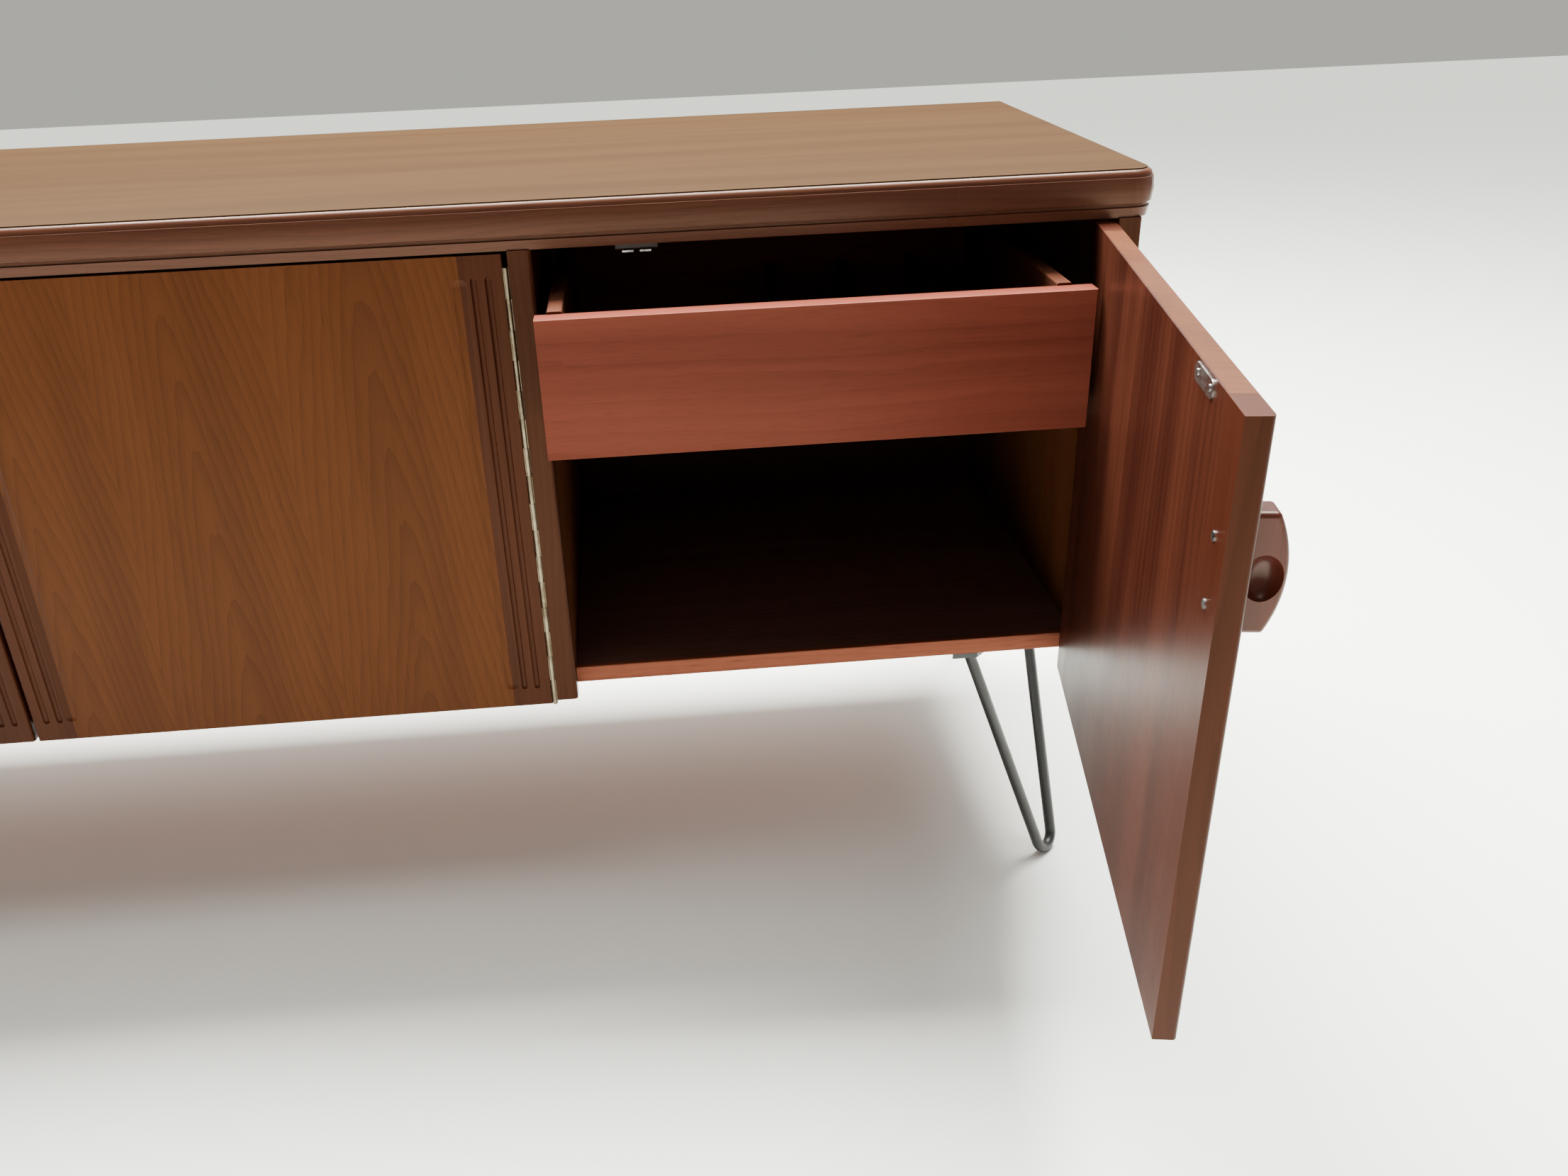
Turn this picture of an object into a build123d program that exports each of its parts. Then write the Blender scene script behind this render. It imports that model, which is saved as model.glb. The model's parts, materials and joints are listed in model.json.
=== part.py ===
from build123d import *
import os
from math import acos, atan2, cos, hypot, radians, sin, sqrt

# Four-door teak sideboard on black hairpin legs.
# Millimetres, +Z up, X to the right and Y towards the back, floor at Z = 0.
# The right door stands open and the drawer behind it is partly pulled out.

# carcass, from the outside in
CARCASS_LENGTH = 1960.0
BOARD = 19.0
SIDE_BAY = 471.0
LEG_HEIGHT = 238.0
BOTTOM_BOARD = 16.0
CARCASS_DEPTH = 456.0
INSIDE_DEPTH = 435.0
POST_DEPTH = 18.0
BACK_PANEL = 5.0
LIPPING = 5.0

# top: a thin panel built up to a deep moulded edge
TOP_BACK = 466.0
TOP_DEPTH_OF_EDGE = 37.5
TOP_PANEL = 20.0
ARRIS_OUT_AT_END = 6.5
ARRIS_IN_AT_FRONT = 4.0
EDGE_WIDTH = 15.0
TOP_VENEER = 0.9
TOP_RAIL = 50.0

# doors
DOOR_HEIGHT = 413.5
DOOR_THICK = 15.5
DOOR_BELOW_BOARD = 10.0
HINGE_GAP = 4.5
AXIS_FORWARD = 0.5
FREE_ARRIS = 3.0
SIDE_DOOR = 464.0
CENTRE_DOOR = 465.0
STILE = 35.0
OPEN_ANGLE = 80.0

# flutes of the reeded stiles, measured from the edge next to the panel
FLUTE_RADIUS = 2.7
FLUTE_PLACES = (11.0, 22.5)
FLUTE_LIFT = 0.7
FLUTE_END = 20.0
COVE_RADIUS = 12.8
COVE_LIFT = 11.3
COVE_END = 24.0

# handle: a D-shaped block with a finger scoop facing the door's free edge
HANDLE_HEIGHT = 71.0
HANDLE_THICK = 19.0
HANDLE_DEEP = 23.0
HANDLE_END_DEEP = 14.5
HANDLE_FROM_FREE_EDGE = 13.5
HANDLE_MIDDLE = 320.5
HANDLE_ROUNDING = 3.0
SCOOP_WIDE = 10.8
SCOOP_TALL = 14.0
SCOOP_OUTSIDE = 2.2
SCOOP_OUT = 10.0
SCOOP_BELOW_MIDDLE = 2.0

# piano hinge
KNUCKLES = 16
KNUCKLE_RADIUS = 1.9
KNUCKLE_GAP = 0.3
PIN_RADIUS = 0.8
PIN_CLEARANCE = 0.05
LEAF = 0.8
LEAF_WIDTH = 15.0
LEAF_NOTCH = 2.6
HINGE_HEIGHT = 403.0
LEAF_SCREWS = 8

# catches under the top rail and their strike plates on the doors
CATCH_FROM_HINGE = 386.0
STRIKE_LONG = 42.0
STRIKE_HIGH = 11.0
STRIKE_THICK = 1.0
STRIKE_MIDDLE = 406.0
CATCH_HALF_LONG = 17.0
CATCH_FRONT = 20.0
CATCH_BACK = 36.0
CATCH_HIGH = 8.0
TAB_HALF_WIDE = 4.5
TAB_APART = 14.0
TAB_FRONT = 17.0
TAB_BACK = 32.0
TAB_THICK = 1.4

# drawer behind the right door
DRAWER_PULLED = 66.0
DRAWER_LONG = 320.0
DRAWER_FRONT = 17.0
DRAWER_FRONT_BOTTOM = 264.0
DRAWER_FRONT_HEIGHT = 112.5
DRAWER_LEFT_GAP = 1.5
DRAWER_RIGHT_GAP = 35.5
DRAWER_SIDE = 12.0
DRAWER_LEFT_OVERHANG = 9.0
DRAWER_RIGHT_OVERHANG = 15.5
DRAWER_PLY = 5.0
DRAWER_PLY_RAISED = 8.0
DRAWER_GROOVE = 5.0
DIVIDER = 6.0
DIVIDER_PITCH = 70.0
FIRST_DIVIDER = 60.0
DIVIDER_HEIGHT = 64.0
DIVIDERS = 3
DRAWER_BACK = 12.0
RUNNER_FRONT = 20.0
RUNNER_THICK = 19.5
RUNNER_GAP = 0.5

# hairpin legs, set across the corners at 45 degrees
ROD_RADIUS = 5.4
ROD_HALF_SPREAD = 53.8
LEG_SPLAY = 70.6
LEG_BEND_RADIUS = 14.0
LEG_FROM_END = 77.7
LEG_FROM_FRONT = 62.5
PLATE_THICK = 5.0
PLATE_HALF_WIDTH = 8.5
PLATE_REACH = 44.0

# worked out from the driving dimensions
END_FACE = CARCASS_LENGTH / 2
END_INNER = END_FACE - BOARD
PARTITION_OUTER = END_INNER - SIDE_BAY
PARTITION_INNER = PARTITION_OUTER - BOARD
DOOR_BOTTOM = LEG_HEIGHT - DOOR_BELOW_BOARD
POST_BOTTOM = DOOR_BOTTOM + 3.0
FLOOR_OF_BAY = LEG_HEIGHT + BOTTOM_BOARD
CARCASS_TOP = DOOR_BOTTOM + DOOR_HEIGHT + 2.0
TOP_OF_TOP = CARCASS_TOP + TOP_DEPTH_OF_EDGE
TOP_PANEL_BOTTOM = TOP_OF_TOP - TOP_PANEL
AXIS_IN = HINGE_GAP / 2
DOOR_BACK = AXIS_FORWARD + DOOR_THICK
OPEN_REACH = (AXIS_IN + SIDE_DOOR - FREE_ARRIS) * sin(radians(OPEN_ANGLE))
OPEN_BACK = (AXIS_FORWARD + FREE_ARRIS) * (1 - cos(radians(OPEN_ANGLE)))
FRONT = (OPEN_REACH + OPEN_BACK - TOP_BACK) / 2


def save(piece, name):
    piece.part.label = name
    export_step(piece.part, f"parts/{name}.step")


def block(x0, x1, y0, y1, z0, z1, mode=Mode.ADD):
    """A square-edged block in the part being built, its depth counted back from the front plane."""
    with BuildSketch(Plane.XY.offset(z0)) as outline:
        with Locations(((x0 + x1) / 2, FRONT + (y0 + y1) / 2)):
            Rectangle(x1 - x0, y1 - y0)
    extrude(outline.sketch, amount=z1 - z0, mode=mode)


def pegs(places, direction, radius, length, mode=Mode.ADD):
    """Round pegs that start at each place and run along one direction."""
    for place in places:
        with BuildSketch(Plane(origin=place, z_dir=direction)) as outline:
            Circle(radius)
        extrude(outline.sketch, amount=length, mode=mode)


def screws(places, direction, head_radius, head, shank_radius, length):
    """Pan-head screws: each head stands on its place and the shank runs along the direction."""
    into = Vector(*direction)
    pegs([Vector(*p) - into * head for p in places], direction, head_radius, head)
    pegs(places, direction, shank_radius, length)


def bores(places, direction, radius, depth):
    """Blind holes for fixings, a little wider than the shank they take."""
    pegs(places, direction, radius + 0.05, depth + 0.5, mode=Mode.SUBTRACT)


os.makedirs("parts", exist_ok=True)

# ---- places of the fixings that several pieces share ----

PEG_RADIUS = 3.0
PEG_IN_WALL = 8.0
PEG_LONG = 18.0
SHELF = 16.0
SHELF_BOTTOM = 440.0
PEG_PLACES = [(y, SHELF_BOTTOM - PEG_RADIUS) for y in (FRONT + 75, FRONT + 390)]

LEG_CORNERS = [(right, back) for right in (1, -1) for back in (-1, 1)]
LEG_SCREW_RADIUS = 2.0
LEG_SCREW_IN_BOARD = 11.0
LEG_SCREW_PITCH = 24.0

NAIL_RADIUS = 0.9
NAIL_IN_BOARD = 9.0
NAIL_LINE = FRONT + INSIDE_DEPTH
LOW_NAILS = [(-940 + 940 / 6 * i, NAIL_LINE, LEG_HEIGHT + 8) for i in range(13)]
PARTITION_NAILS = [(PARTITION_INNER + 9.5, NAIL_LINE, LEG_HEIGHT + z) for z in (130, 250, 370)]
PARTITION_NAILS += [(-x, y, z) for x, y, z in PARTITION_NAILS]

LEAF_SCREW_RADIUS = 1.1
LEAF_SCREW_LONG = 14.0
LEAF_SCREW_BACK = 9.0
LEAF_SCREW_PITCH = HINGE_HEIGHT / LEAF_SCREWS
HANDLE_SCREW_RADIUS = 1.7
HANDLE_SCREW_IN = 7.0
HANDLE_SCREW_HEIGHTS = (-22.0, 18.5)
STRIKE_SCREW_RADIUS = 1.0
STRIKE_SCREW_LONG = 9.0
STRIKE_SCREW_APART = 28.0

# radius and thickness of each kind of head
NAIL_HEAD = (2.6, 0.8)
LEAF_SCREW_HEAD = (2.4, 0.5)
HANDLE_SCREW_HEAD = (3.0, 0.7)
STRIKE_SCREW_HEAD = (2.2, 0.5)
LEG_SCREW_HEAD = (4.0, 2.2)

FRAME_SCREW_HEIGHTS = [DOOR_BOTTOM + (i + 0.5) * LEAF_SCREW_PITCH for i in range(LEAF_SCREWS)]


def leg_frame(right, back):
    """Middle of a leg's plate and the way along the plate and out to the corner, in plan."""
    y = LEG_FROM_FRONT if back < 0 else CARCASS_DEPTH - LEG_FROM_FRONT
    middle = Vector(right * (END_FACE - LEG_FROM_END), FRONT + y, 0)
    out = Vector(right, back, 0).normalized()
    along = Vector(1, -right * back, 0).normalized()
    return middle, along, out


def leg_screw_places(height):
    places = []
    for right, back in LEG_CORNERS:
        middle, along, out = leg_frame(right, back)
        for a in (-LEG_SCREW_PITCH, 0.0, LEG_SCREW_PITCH):
            places.append(middle + along * a + Vector(0, 0, height))
    return places


def frame_screw_places(inner_face):
    """Screws of a fixed hinge leaf, on the face that the leaf is fixed to."""
    return [(inner_face, FRONT - AXIS_FORWARD + LEAF_SCREW_BACK, z) for z in FRAME_SCREW_HEIGHTS]


# ---- top ----

# veneered top panel, inside the moulded edge
PANEL_HALF = END_FACE + ARRIS_OUT_AT_END - EDGE_WIDTH
PANEL_FRONT = ARRIS_IN_AT_FRONT + EDGE_WIDTH

with BuildPart() as top_panel:
    block(-PANEL_HALF, PANEL_HALF, PANEL_FRONT, TOP_BACK, TOP_PANEL_BOTTOM, TOP_OF_TOP - TOP_VENEER)
    # the veneer is laid over the moulding too, up to its rounded arris
    with BuildSketch(Plane.XY.offset(TOP_OF_TOP - TOP_VENEER)) as sheet:
        with Locations((0, FRONT + (ARRIS_IN_AT_FRONT + TOP_BACK) / 2)):
            Rectangle(2 * (PANEL_HALF + EDGE_WIDTH), TOP_BACK - ARRIS_IN_AT_FRONT)
        fillet(sheet.vertices().group_by(Axis.Y)[0], EDGE_WIDTH)
    extrude(amount=TOP_VENEER)
save(top_panel, "top_panel")


def edge_profile():
    """Section of the moulded edge: round shoulder, swelling face, quirk and a small lower fillet.

    X runs outwards from the inside of the moulding and Y is the height above its underside.
    """
    high = TOP_DEPTH_OF_EDGE - TOP_VENEER
    wide = EDGE_WIDTH
    with BuildLine() as outline:
        Polyline((wide + 2.6, 0), (0, 0), (0, high), (wide, high))
        RadiusArc((wide, high), (wide + 4.5, high - 5.4), 5.4)
        Line((wide + 4.5, high - 5.4), (wide + 5.5, high - 5.7))
        ThreePointArc((wide + 5.5, high - 5.7), (wide + 6.5, high - 15), (wide + 5.3, high - 25))
        Polyline(
            (wide + 5.3, high - 25),
            (wide + 2.6, high - 25.8),
            (wide + 2.6, high - 28.2),
            (wide + 4.2, high - 28.9),
            (wide + 2.6, 0),
        )
    make_face(outline.edges())


def corner(side, angle_from, angle):
    """Turn the moulded edge round a front corner of the top."""
    centre = (side * PANEL_HALF, FRONT + PANEL_FRONT, CARCASS_TOP)
    outwards = (cos(radians(angle_from)), sin(radians(angle_from)), 0)
    sideways = (sin(radians(angle_from)), -cos(radians(angle_from)), 0)
    with BuildSketch(Plane(origin=centre, x_dir=outwards, z_dir=sideways)) as section:
        edge_profile()
    revolve(section.sketch, axis=Axis(centre, (0, 0, 1)), revolution_arc=angle)


with BuildPart() as top_moulding_front:
    start = (-PANEL_HALF, FRONT + PANEL_FRONT, CARCASS_TOP)
    with BuildSketch(Plane(origin=start, x_dir=(0, -1, 0), z_dir=(-1, 0, 0))):
        edge_profile()
    extrude(amount=-2 * PANEL_HALF)
    corner(1, -90, 45)
    corner(-1, -135, 45)
save(top_moulding_front, "top_moulding_front")

with BuildPart() as top_moulding_ends:
    start = (PANEL_HALF, FRONT + PANEL_FRONT, CARCASS_TOP)
    with BuildSketch(Plane(origin=start, x_dir=(1, 0, 0), z_dir=(0, -1, 0))):
        edge_profile()
    extrude(amount=PANEL_FRONT - TOP_BACK)
    corner(1, -45, 45)
    mirror(about=Plane.YZ)
save(top_moulding_ends, "top_moulding_ends")

# frame under the top panel: front and back rails and cross battens over the uprights
BATTEN_PLACES = [-END_INNER + 15.0, -PARTITION_INNER - 10.0, PARTITION_INNER + 10.0, END_INNER - 15.0]

with BuildPart() as top_rails:
    block(-PANEL_HALF, PANEL_HALF, PANEL_FRONT, PANEL_FRONT + TOP_RAIL, CARCASS_TOP, TOP_PANEL_BOTTOM)
    block(-PANEL_HALF, PANEL_HALF, TOP_BACK - TOP_RAIL, TOP_BACK, CARCASS_TOP, TOP_PANEL_BOTTOM)
save(top_rails, "top_rails")

with BuildPart() as top_battens:
    for x in BATTEN_PLACES:
        block(x - 25, x + 25, PANEL_FRONT + TOP_RAIL, TOP_BACK - TOP_RAIL, CARCASS_TOP, TOP_PANEL_BOTTOM)
save(top_battens, "top_battens")

# ---- carcass ----

for side, name in ((1, "right"), (-1, "left")):
    x0, x1 = sorted((side * END_INNER, side * END_FACE))
    with BuildPart() as end_panel:
        block(x0, x1, LIPPING, CARCASS_DEPTH, POST_BOTTOM, CARCASS_TOP)
        bores(frame_screw_places(side * END_INNER), (side, 0, 0), LEAF_SCREW_RADIUS, LEAF_SCREW_LONG)
        if side < 0:
            bores([(-END_INNER, *place) for place in PEG_PLACES], (-1, 0, 0), PEG_RADIUS, PEG_IN_WALL)
    save(end_panel, f"end_panel_{name}")

    x0, x1 = sorted((side * PARTITION_INNER, side * PARTITION_OUTER))
    with BuildPart() as partition:
        block(x0, x1, POST_DEPTH, INSIDE_DEPTH, FLOOR_OF_BAY, CARCASS_TOP)
        bores([n for n in PARTITION_NAILS if n[0] * side > 0], (0, -1, 0), NAIL_RADIUS, NAIL_IN_BOARD)
        on_inner_face = [(side * PARTITION_INNER, *place) for place in PEG_PLACES]
        bores(on_inner_face, (side, 0, 0), PEG_RADIUS, PEG_IN_WALL)
        if side < 0:
            bores([(-PARTITION_OUTER, *place) for place in PEG_PLACES], (1, 0, 0), PEG_RADIUS, PEG_IN_WALL)
    save(partition, f"partition_{name}")

# solid posts that cover the partitions' front edges, rounded towards the side bays
with BuildPart() as posts:
    block(PARTITION_INNER, PARTITION_OUTER, 0, POST_DEPTH, POST_BOTTOM, CARCASS_TOP)
    fillet(posts.edges().filter_by(Axis.Z).sort_by(lambda e: e.center().X - e.center().Y)[-1], 3.5)
    bores(frame_screw_places(PARTITION_INNER), (1, 0, 0), LEAF_SCREW_RADIUS, LEAF_SCREW_LONG)
    mirror(about=Plane.YZ)
save(posts, "posts")

# solid strips on the front edges of the end panels
with BuildPart() as end_lippings:
    for side in (-1, 1):
        x0, x1 = sorted((side * END_INNER, side * END_FACE))
        block(x0, x1, 0, LIPPING, POST_BOTTOM, CARCASS_TOP)
    fillet(end_lippings.edges().filter_by(Axis.Z).group_by(Axis.Y)[0], 1.2)
save(end_lippings, "end_lippings")

with BuildPart() as bottom_panel:
    block(-END_INNER, END_INNER, POST_DEPTH + LIPPING, INSIDE_DEPTH, LEG_HEIGHT, FLOOR_OF_BAY)
    bores(leg_screw_places(LEG_HEIGHT), (0, 0, 1), LEG_SCREW_RADIUS, LEG_SCREW_IN_BOARD)
    bores(LOW_NAILS, (0, -1, 0), NAIL_RADIUS, NAIL_IN_BOARD)
save(bottom_panel, "bottom_panel")

with BuildPart() as bottom_lipping:
    block(-END_INNER, END_INNER, POST_DEPTH, POST_DEPTH + LIPPING, LEG_HEIGHT, FLOOR_OF_BAY)
    fillet(bottom_lipping.edges().filter_by(Axis.X).group_by(Axis.Y)[0], 1.0)
save(bottom_lipping, "bottom_lipping")

with BuildPart() as back_panel:
    block(-END_INNER, END_INNER, INSIDE_DEPTH, INSIDE_DEPTH + BACK_PANEL, LEG_HEIGHT, CARCASS_TOP)
    bores(LOW_NAILS + PARTITION_NAILS, (0, 1, 0), NAIL_RADIUS, BACK_PANEL)
save(back_panel, "back_panel")

with BuildPart() as back_panel_nails:
    heads = [Vector(*place) + Vector(0, BACK_PANEL, 0) for place in LOW_NAILS + PARTITION_NAILS]
    screws(heads, (0, -1, 0), *NAIL_HEAD, NAIL_RADIUS, BACK_PANEL + NAIL_IN_BOARD)
save(back_panel_nails, "back_panel_nails")

# ---- shelves in the centre and left bays ----

SHELF_FRONT = 34.0
SHELF_BACK = 431.0

with BuildPart() as shelf_centre:
    half = PARTITION_INNER - 1
    block(-half, half, SHELF_FRONT, SHELF_BACK, SHELF_BOTTOM, SHELF_BOTTOM + SHELF)
    fillet(shelf_centre.edges().filter_by(Axis.X).group_by(Axis.Y)[0], 1.0)
save(shelf_centre, "shelf_centre")

with BuildPart() as shelf_left:
    block(-END_INNER + 1, -PARTITION_OUTER - 1, SHELF_FRONT, SHELF_BACK, SHELF_BOTTOM, SHELF_BOTTOM + SHELF)
    fillet(shelf_left.edges().filter_by(Axis.X).group_by(Axis.Y)[0], 1.0)
save(shelf_left, "shelf_left")

with BuildPart() as shelf_pegs:
    walls = [(-END_INNER, 1), (-PARTITION_OUTER, -1), (-PARTITION_INNER, 1), (PARTITION_INNER, -1)]
    for x, way in walls:
        pegs([(x - PEG_IN_WALL * way, *place) for place in PEG_PLACES], (way, 0, 0), PEG_RADIUS, PEG_LONG)
save(shelf_pegs, "shelf_pegs")

# ---- doors ----


def door_plane(side, inner_face, angle=0.0):
    """Plane at a hinge axis, level with the doors' lower edges; X runs to the door's free edge.

    side is 1 for a door hinged at its right edge, whose plane Y then points out of the front.
    """
    axis = (inner_face - side * AXIS_IN, FRONT - AXIS_FORWARD, DOOR_BOTTOM)
    turn = radians(angle)
    return Plane(origin=axis, x_dir=(-side * cos(turn), -sin(turn), 0), z_dir=(0, 0, 1))


def door_block(plane, side, x0, x1, out0, out1, z0, z1):
    """A block on a door: x from the hinge axis, out towards the front, z above the door's lower edge."""
    with BuildSketch(plane.offset(z0)) as outline:
        with Locations(((x0 + x1) / 2, side * (out0 + out1) / 2)):
            Rectangle(x1 - x0, abs(out1 - out0))
    extrude(outline.sketch, amount=z1 - z0)


def stopped_groove(plane, side, x, radius, lift, end):
    """Run a round groove up the door's face, with its two ends dying out in a curve."""
    spot = (x, side * (lift - AXIS_FORWARD))
    with BuildSketch(plane.offset(end)) as groove:
        with Locations(spot):
            Circle(radius)
    extrude(groove.sketch, amount=DOOR_HEIGHT - 2 * end, mode=Mode.SUBTRACT)
    for z in (end, DOOR_HEIGHT - end):
        with Locations(plane.from_local_coords((*spot, z))):
            Sphere(radius, mode=Mode.SUBTRACT)


def stile(plane, side, x0, arris, flutes):
    """Solid reeded stile: rounded front arris on its outer side and two stopped flutes."""
    with BuildSketch(plane) as section:
        with Locations((x0 + STILE / 2, -side * (AXIS_FORWARD + DOOR_THICK / 2))):
            Rectangle(STILE, DOOR_THICK)
        outer = section.vertices().sort_by(lambda v: side * v.Y + (v.X if arris > 0 else -v.X))[-1]
        fillet(outer, abs(arris))
    extrude(section.sketch, amount=DOOR_HEIGHT)
    for x in flutes:
        stopped_groove(plane, side, x, FLUTE_RADIUS, FLUTE_LIFT, FLUTE_END)


def knuckle_spans(first):
    """Lower and upper ends of every second knuckle, counted from the door's lower edge."""
    pitch = HINGE_HEIGHT / KNUCKLES
    return [
        (i * pitch + KNUCKLE_GAP / 2, (i + 1) * pitch - KNUCKLE_GAP / 2)
        for i in range(first, KNUCKLES, 2)
    ]


def hinge_leaf(plane, side, face, first):
    """One leaf of a piano hinge with its own knuckles; face is its far side from the axis."""
    near = face - LEAF if face > 0 else face + LEAF
    x0, x1 = sorted((near, face))
    door_block(plane, side, x0, x1, -LEAF_WIDTH, -LEAF_NOTCH, 0, HINGE_HEIGHT)
    for z0, z1 in knuckle_spans(first):
        door_block(plane, side, x0, x1, -LEAF_NOTCH, 0, z0, z1)
        with BuildSketch(plane.offset(z0)) as barrel:
            Circle(KNUCKLE_RADIUS)
        extrude(barrel.sketch, amount=z1 - z0)
    with BuildSketch(plane) as bore:
        Circle(PIN_RADIUS + PIN_CLEARANCE)
    extrude(bore.sketch, amount=HINGE_HEIGHT, mode=Mode.SUBTRACT)


def leaf_screw_places(plane, side, x):
    """Screws of a hinge leaf, x from the axis."""
    heights = [(i + 0.5) * LEAF_SCREW_PITCH for i in range(LEAF_SCREWS)]
    return [plane.from_local_coords((x, -LEAF_SCREW_BACK * side, z)) for z in heights]


def make_door(name, plane, side, width):
    along = plane.x_dir
    outwards = plane.y_dir * side
    free_edge = AXIS_IN + width
    back = AXIS_FORWARD + DOOR_THICK
    joints = (AXIS_IN + STILE, free_edge - STILE)
    face = free_edge - HANDLE_FROM_FREE_EDGE
    behind_handle = [
        plane.from_local_coords((face - HANDLE_THICK / 2, -side * back, HANDLE_MIDDLE + z))
        for z in HANDLE_SCREW_HEIGHTS
    ]
    strike = plane.from_local_coords((CATCH_FROM_HINGE, -side * back, STRIKE_MIDDLE))
    half_apart = STRIKE_SCREW_APART / 2
    on_strike = [strike + along * x - outwards * STRIKE_THICK for x in (-half_apart, half_apart)]

    with BuildPart() as panel:
        door_block(plane, side, AXIS_IN + STILE, free_edge - STILE, -AXIS_FORWARD, -back, 0, DOOR_HEIGHT)
        for x in joints:
            stopped_groove(plane, side, x, COVE_RADIUS, COVE_LIFT, COVE_END)
        bores(on_strike, outwards, STRIKE_SCREW_RADIUS, STRIKE_SCREW_LONG)
    save(panel, f"{name}_panel")

    with BuildPart() as stiles:
        near_hinge = [AXIS_IN + STILE - x for x in FLUTE_PLACES]
        near_edge = [free_edge - STILE + x for x in FLUTE_PLACES]
        stile(plane, side, AXIS_IN, -1.0, near_hinge)
        stile(plane, side, free_edge - STILE, FREE_ARRIS, near_edge)
        for x in joints:
            stopped_groove(plane, side, x, COVE_RADIUS, COVE_LIFT, COVE_END)
        bores(leaf_screw_places(plane, side, AXIS_IN), along, LEAF_SCREW_RADIUS, LEAF_SCREW_LONG)
        bores(behind_handle, outwards, HANDLE_SCREW_RADIUS, DOOR_THICK)
    save(stiles, f"{name}_stiles")

    # handle: arched block, rounded all over except where it meets the door
    foot = plane.from_local_coords((face, -side * AXIS_FORWARD, HANDLE_MIDDLE))
    handle_plane = Plane(origin=foot, x_dir=outwards, z_dir=along * side)
    half = HANDLE_HEIGHT / 2
    with BuildPart() as handle:
        with BuildSketch(handle_plane):
            with BuildLine():
                Polyline((HANDLE_END_DEEP, -half), (0, -half), (0, half), (HANDLE_END_DEEP, half))
                ThreePointArc((HANDLE_END_DEEP, half), (HANDLE_DEEP, 0), (HANDLE_END_DEEP, -half))
            make_face()
        extrude(amount=-side * HANDLE_THICK)
        rounded = handle.edges().filter_by(lambda e: handle_plane.to_local_coords(e.center()).X > 0.5)
        fillet(rounded, HANDLE_ROUNDING)
        hollow = foot + along * SCOOP_OUTSIDE + outwards * SCOOP_OUT - Vector(0, 0, SCOOP_BELOW_MIDDLE)
        with BuildSketch(Plane(origin=hollow, x_dir=outwards, z_dir=along * side)):
            Ellipse(SCOOP_WIDE, SCOOP_TALL)
            split(bisect_by=Plane.YZ)
        revolve(axis=Axis(hollow, (0, 0, 1)), mode=Mode.SUBTRACT)
        bores(behind_handle, outwards, HANDLE_SCREW_RADIUS, DOOR_THICK + HANDLE_SCREW_IN)
    save(handle, f"{name}_handle")

    with BuildPart() as leaf:
        hinge_leaf(plane, side, AXIS_IN, 1)
        bores(leaf_screw_places(plane, side, AXIS_IN - LEAF), along, LEAF_SCREW_RADIUS, LEAF)
    save(leaf, f"{name}_hinge_leaf")

    with BuildPart() as strike_plate:
        with BuildSketch(Plane(origin=strike, x_dir=along, z_dir=-outwards)):
            SlotOverall(STRIKE_LONG, STRIKE_HIGH)
        extrude(amount=STRIKE_THICK)
        bores(on_strike, outwards, STRIKE_SCREW_RADIUS, STRIKE_THICK)
    save(strike_plate, f"{name}_strike_plate")

    # small screws: hinge leaf, handle (driven from the back) and strike plate
    with BuildPart() as door_screws:
        on_leaf = leaf_screw_places(plane, side, AXIS_IN - LEAF)
        screws(on_leaf, along, *LEAF_SCREW_HEAD, LEAF_SCREW_RADIUS, LEAF_SCREW_LONG)
        screws(behind_handle, outwards, *HANDLE_SCREW_HEAD, HANDLE_SCREW_RADIUS, DOOR_THICK + HANDLE_SCREW_IN)
        screws(on_strike, outwards, *STRIKE_SCREW_HEAD, STRIKE_SCREW_RADIUS, STRIKE_SCREW_LONG)
    save(door_screws, f"{name}_screws")


make_door("right_door", door_plane(1, END_INNER, OPEN_ANGLE), 1, SIDE_DOOR)
make_door("centre_right_door", door_plane(1, PARTITION_INNER), 1, CENTRE_DOOR)
make_door("centre_left_door", door_plane(-1, -PARTITION_INNER), -1, CENTRE_DOOR)
make_door("left_door", door_plane(-1, -END_INNER), -1, SIDE_DOOR)

CLOSED_PLANES = [
    (door_plane(1, END_INNER), 1),
    (door_plane(1, PARTITION_INNER), 1),
    (door_plane(-1, -PARTITION_INNER), -1),
    (door_plane(-1, -END_INNER), -1),
]

# fixed leaves on the end panels and partitions
with BuildPart() as hinge_frame_leaves:
    for plane, side in CLOSED_PLANES:
        hinge_leaf(plane, side, -AXIS_IN, 0)
    for plane, side in CLOSED_PLANES:
        on_leaf = leaf_screw_places(plane, side, LEAF - AXIS_IN)
        bores(on_leaf, (side, 0, 0), LEAF_SCREW_RADIUS, LEAF)
save(hinge_frame_leaves, "hinge_frame_leaves")

with BuildPart() as hinge_pins:
    pegs([plane.origin for plane, side in CLOSED_PLANES], (0, 0, 1), PIN_RADIUS, HINGE_HEIGHT)
save(hinge_pins, "hinge_pins")

with BuildPart() as hinge_frame_screws:
    for plane, side in CLOSED_PLANES:
        on_leaf = leaf_screw_places(plane, side, LEAF - AXIS_IN)
        screws(on_leaf, (side, 0, 0), *LEAF_SCREW_HEAD, LEAF_SCREW_RADIUS, LEAF_SCREW_LONG)
save(hinge_frame_screws, "hinge_frame_screws")

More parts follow.
